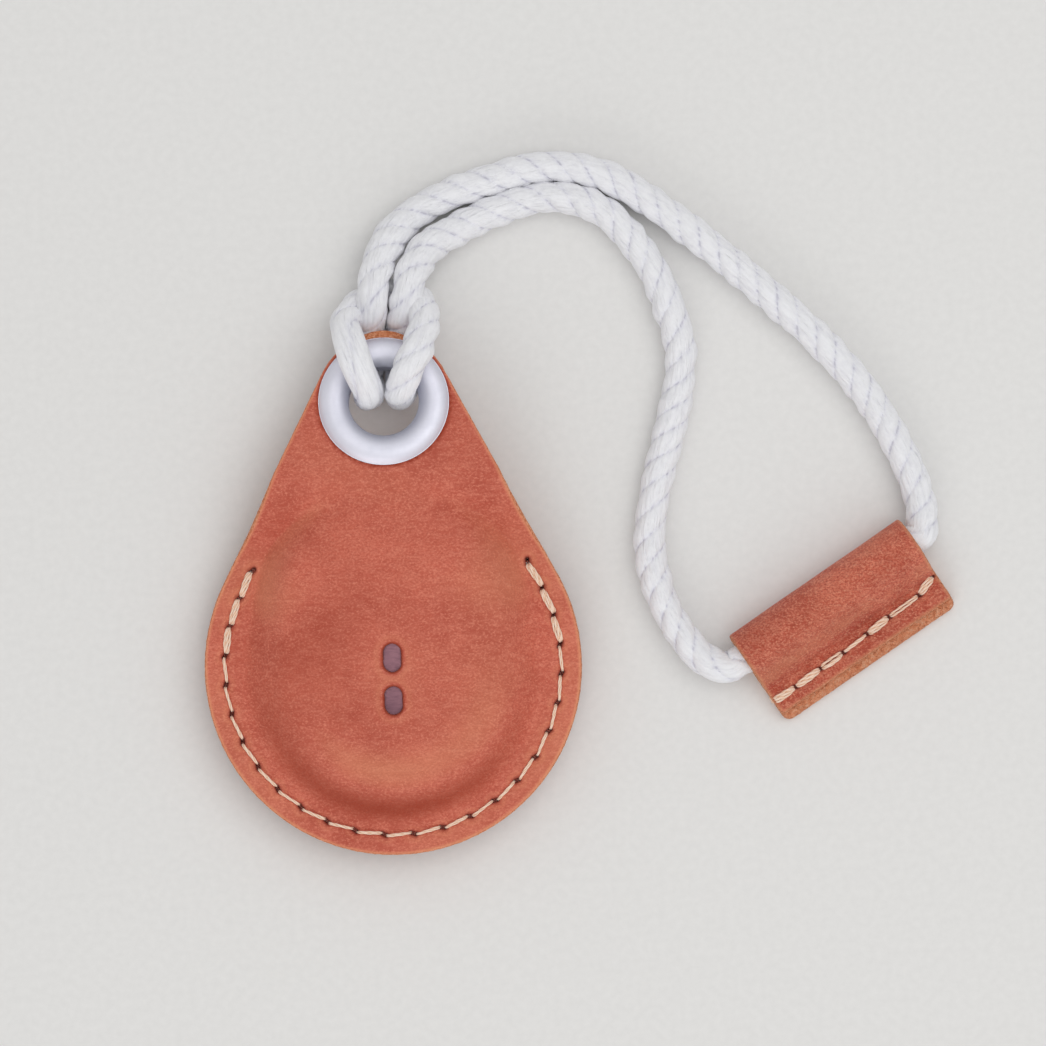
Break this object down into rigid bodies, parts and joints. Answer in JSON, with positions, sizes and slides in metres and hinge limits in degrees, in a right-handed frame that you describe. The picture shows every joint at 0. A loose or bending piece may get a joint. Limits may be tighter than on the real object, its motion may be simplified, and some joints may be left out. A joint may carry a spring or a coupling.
{
  "type": "tracker tag holder",
  "caption": "Teardrop leather pouch that holds a coin-shaped tracker tag and hangs from a knotted cotton rope loop with a sewn leather sleeve.",
  "frame": {"origin": "centre of the pouch's round body, on the flat back that it lies on", "axes": "+Z out of the front of the pouch, +Y from the round body to the eyelet, +X to the right seen from the front"},
  "size_m": [0.1076, 0.1003, 0.0133],
  "materials": {
    "leather": "matte",
    "thread": "matte",
    "eyelet": "satin",
    "rope": "matte",
    "tag_shell": "gloss",
    "tag_frame": "matte",
    "circuit_board": "matte",
    "copper": "satin",
    "magnet": "satin",
    "contact_brass": "satin",
    "coin_cell": "satin",
    "seal_rubber": "matte",
    "door_steel": "satin"
  },
  "bodies": {
    "holder": {"front_panel": "leather", "back_pocket": "leather", "seam_thread": "thread", "eyelet": "eyelet", "eyelet_washer": "eyelet"},
    "loop": {"rope_hitch": "rope", "rope_outer_run": "rope", "rope_inner_run": "rope", "rope_sleeve": "leather", "sleeve_thread": "thread"},
    "tag": {"tag_shell": "tag_shell", "tag_frame": "tag_frame", "tag_circuit_board": "circuit_board", "tag_voice_coil": "copper", "tag_magnet": "magnet", "tag_contact_springs": "contact_brass", "tag_coin_cell": "coin_cell", "tag_seal": "seal_rubber"},
    "battery_door": {"tag_door_liner": "tag_frame", "tag_steel_door": "door_steel"}
  },
  "joints": [
    {"name": "loop_swing", "type": "hinge", "parent": "holder", "child": "loop", "pos_m": [0, 0.0375, 0], "axis": [0, 0, 1], "range_deg": [-12, 20]},
    {"name": "tag_slide", "type": "slide", "parent": "holder", "child": "tag", "axis": [0, 1, 0], "range_m": [0, 0.01]},
    {"name": "door_twist", "type": "hinge", "parent": "tag", "child": "battery_door", "pos_m": [0, -0.0017, 0.0095], "axis": [0, 0, 1], "range_deg": [0, 20]}
  ]
}
